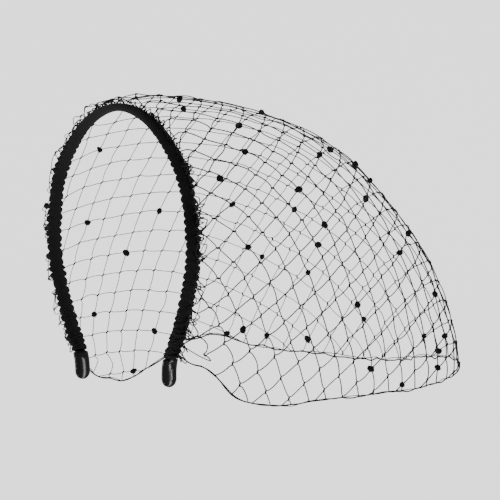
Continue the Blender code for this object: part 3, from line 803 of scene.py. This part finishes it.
# Gathered heading. The net's edge is bunched on to the back of the cover: small slack meshes stand out
# past the band in corners and loops, tallest along the limbs and lowest over the crown.
LOOPS = 150
LOOP_TALL, LOOP_LOW = 11.5 * MM, 4.4 * MM
LOOP_GAP = (2.5 * MM, 9 * MM)
LOOP_ROOT, LOOP_FOOT, LOOP_FORWARD, LOOP_BACK = 0.3 * MM, 1.5 * MM, 3.2 * MM, 1.8 * MM
LOOP_THREAD, LOOP_SIDES = 0.65 * MM, 5


def gathered_loops(rng):
    """Loops of thread: each leaves the cover, turns two corners, and comes back a little further on."""
    line = hoop_line(FINE_LINE)
    line = line[line[:, 2] > COVER_END + 3 * MM]
    out, along = outward(line), along_of(line)
    total = along[-1]
    start = rng.uniform(0, total, LOOPS)
    gap = rng.uniform(*LOOP_GAP, LOOPS)
    share = np.abs(start / total - 0.5) * 2
    down_limb = np.clip(share * 2.4 - 0.5, 0, 1)
    tall = (LOOP_LOW + (LOOP_TALL - LOOP_LOW) * down_limb) * rng.uniform(0.45, 1.0, LOOPS)
    corner = rng.uniform(0.2, 0.45, LOOPS), rng.uniform(0.55, 0.85, LOOPS)
    depth = rng.uniform(-LOOP_FORWARD, LOOP_BACK, (LOOPS, 2))
    u = np.linspace(0, 1, 19)
    height, lean = [], []
    for first, second, (ahead, behind) in zip(*corner, depth):
        height.append(np.interp(u, (0, first, second, 1), (0, 1, rng.uniform(0.35, 1.0), 0)))
        lean.append(np.interp(u, (0, first, second, 1), (-LOOP_FOOT, ahead, behind, -LOOP_FOOT)))
    height, lean = np.array(height), np.array(lean)
    for _ in range(2):
        height[:, 1:-1] = (height[:, :-2] + 2 * height[:, 1:-1] + height[:, 2:]) / 4
    at = start[:, None] + gap[:, None] * (u + 0.18 * np.sin(2 * np.pi * u) * rng.normal(0, 1, (LOOPS, 1)))
    foot = np.stack([np.interp(at, along, line[:, k]) for k in range(3)], -1)
    way = np.stack([np.interp(at, along, out[:, k]) for k in range(3)], -1)
    path = foot + way * (COVER_THICK / 2 - LOOP_ROOT + tall[:, None] * height)[..., None]
    path[..., 1] += lean
    return path


add_strands("gathered_heading", gathered_loops(np.random.default_rng(21)), LOOP_THREAD / 2, LOOP_SIDES)

# Gathered corners. Below the heading the net is drawn together to each end of the cover: its cut threads
# run in as a fan, and a few turns of the same thread bind them there.
FAN_HEIGHT, FAN_SAG, FAN_BACK, FAN_BORDER = 24 * MM, 3 * MM, 3 * MM, 0.05
FAN_THREAD, FAN_ROOT, OFF_CENTRE = 0.6 * MM, 0.3 * MM, 0.02
BINDING_TURNS, BINDING_HEIGHT, BINDING_TILT = 11, 22 * MM, 1.8 * MM
BINDING_LIFT = (0.35 * MM, 0.3 * MM)


def fan_paths(ends, rng):
    """Threads from the cut ends at the net's corners to the cover's foot; each sags by a sine on its way."""
    limit = math.radians(SIDE_LIMIT)
    corner = ends[(np.abs(ends[:, 1]) > limit - FAN_BORDER) & (ends[:, 0] > 0)]
    start = formed(corner[:, 0], corner[:, 1])
    line = hoop_line(FINE_LINE)
    edge = line + outward(line) * (COVER_THICK / 2 - FAN_ROOT)
    height = COVER_END + FAN_HEIGHT * rng.uniform(0.02, 1, len(start)) ** 1.5
    paths = []
    for k, sign in enumerate(np.sign(start[:, 0])):
        limb = edge[edge[:, 0] * sign > OFF_CENTRE]
        order = np.argsort(limb[:, 2])
        paths.append([np.interp(height[k], limb[order, 2], limb[order, axis]) for axis in range(3)])
    foot = np.array(paths)
    foot[:, 1] -= rng.uniform(0, FAN_BACK, len(foot))
    t = np.linspace(0, 1, 16)[None, :, None]
    sag = rng.normal(0, FAN_SAG / 2, (len(start), 1, 3)) * np.sin(np.pi * t)
    return start[:, None] * (1 - t) + foot[:, None] * t + sag


def binding_paths(rng):
    """Slanting turns of thread round the foot of the cover: ellipses a little outside it, each tilted."""
    line = hoop_line(FINE_LINE)
    out = outward(line)
    around = np.linspace(0, 2 * np.pi, 33)
    paths = []
    for sign in (1, -1):
        for height in rng.uniform(0.04, 1, BINDING_TURNS) * BINDING_HEIGHT:
            limb = np.where(line[:, 0] * sign > OFF_CENTRE)[0]
            k = limb[np.abs(line[limb, 2] - COVER_END - height).argmin()]
            run = np.cross(out[k], (0, 1, 0))
            tilt = rng.normal(0, BINDING_TILT)
            wide, thick = COVER_WIDTH / 2 + BINDING_LIFT[0], COVER_THICK / 2 + BINDING_LIFT[1]
            paths.append(line[k] + np.cos(around)[:, None] * wide * np.array((0, 1, 0))
                         + np.sin(around)[:, None] * thick * out[k]
                         + np.sin(around + rng.uniform(0, 6))[:, None] * tilt * run)
    return np.array(paths)


add_strands("gathered_corners", fan_paths(rim_ends, np.random.default_rng(24)), FAN_THREAD / 2)
add_strands("corner_binding", binding_paths(np.random.default_rng(25)), FAN_THREAD / 2)

# Tufts. Small chenille dots, each a dense lumpy ball of cut fibre just under 4 mm across, pinched on to
# the net at a knot. The chart gives their knots, row by row, counted from the net's pole.
DOT_DIAMETER, DOT_UNEVEN, DOT_LUMP, DOT_STRETCH, DOT_POLE = 3.9 * MM, (0.78, 1.0), 0.34, 0.22, 0.12
DOT_CHART = {
    -14: (5,), -13: (6,), -12: (2,), -11: (0,), -10: (5,), -8: (-1, 2, 4, 8, 11), -6: (13,), -5: (2,),
    -4: (-5, 8, 12), -3: (14,), -2: (-1, 4, 5, 8, 11, 13), 0: (3,), 1: (-4,), 2: (-1, 6), 4: (-7, 14),
    6: (-9, 0, 4), 7: (6,), 8: (-6, -2, 10), 9: (-8, 4), 10: (-7, -3), 11: (8,), 13: (-4, 4),
    14: (-5, 0), 16: (-1,),
}
FIBRES, FIBRE_LENGTH, FIBRE_THICK, FIBRE_SIDES, FIBRE_ROOT = 60, 0.75 * MM, 0.07 * MM, 3, 0.75


def tuft_mesh(centres, rng):
    """Lumpy balls: a sphere pushed in and out by a few random waves, and longer along one random way."""
    rings, sides = 14, 18
    tilt, turn = np.linspace(DOT_POLE, np.pi - DOT_POLE, rings)[:, None], round_turn(sides)[None]
    ball = np.stack([np.sin(tilt) * np.cos(turn), np.sin(tilt) * np.sin(turn), np.cos(tilt) + 0 * turn], -1)
    count = len(centres)
    waves = rng.normal(0, 2.6, (count, 5, 3))
    phase = rng.uniform(0, 6.3, (count, 5))
    wave = np.cos(np.einsum("rsk,nwk->nwrs", ball, waves) + phase[..., None, None]).mean(axis=1)
    size = DOT_DIAMETER / 2 * rng.uniform(*DOT_UNEVEN, (count, 1, 1))
    shell = ball[None] * (size * (1 + DOT_LUMP * wave))[..., None]
    long_way = unit(rng.normal(0, 1, (count, 3)))
    stretch = DOT_STRETCH * (shell * long_way[:, None, None]).sum(-1, keepdims=True)
    shell = shell + stretch * long_way[:, None, None] + centres[:, None, None]
    return lidded_tubes("tufts", shell)


def fibre_paths(centres, rng):
    """Cut fibres that stand out of each tuft and bend a little: three points apiece."""
    way = unit(rng.normal(0, 1, (len(centres), FIBRES, 3)))
    bend = rng.normal(0, 0.35, way.shape)
    reach = DOT_DIAMETER / 2 * FIBRE_ROOT
    length = FIBRE_LENGTH * rng.uniform(0.5, 1.2, (*way.shape[:2], 1))
    root = centres[:, None] + way * reach
    bent = root + way * length * 0.6
    return np.stack([root, bent, bent + (way + bend) * length * 0.5], axis=2).reshape(-1, 3, 3)


def tuft_black():
    """Matt black fibre: mottled near-black, quite rough, with bump as fine as the fibres."""
    material, tree, shader = new_material("tuft_black", (0.002, 0.002, 0.002), 1.0)
    place = tree.nodes.new("ShaderNodeTexCoord")
    grain = add_node(tree, "ShaderNodeTexNoise", Scale=3200.0, Detail=3.0)
    bump = add_node(tree, "ShaderNodeBump", Strength=0.8, Distance=0.0002)
    tree.links.new(place.outputs["Object"], grain.inputs["Vector"])
    tree.links.new(grain.outputs["Fac"], bump.inputs["Height"])
    tree.links.new(bump.outputs["Normal"], shader.inputs["Normal"])
    shader.inputs["Specular IOR Level"].default_value = 0.05
    return material


charted = np.array([(row, column) for row, columns in DOT_CHART.items() for column in columns]) + NET_KNOTS
dot_centres = knots[charted[:, 0], charted[:, 1]]
dot_black = tuft_black()
add_piece("tufts", tuft_mesh(dot_centres, np.random.default_rng(31)), dot_black, "veil")
fibres = fibre_paths(dot_centres, np.random.default_rng(32))
fibre_mesh = strand_mesh("tuft_fibres", fibres, FIBRE_THICK / 2, FIBRE_SIDES)
add_piece("tuft_fibres", fibre_mesh, dot_black, "veil")
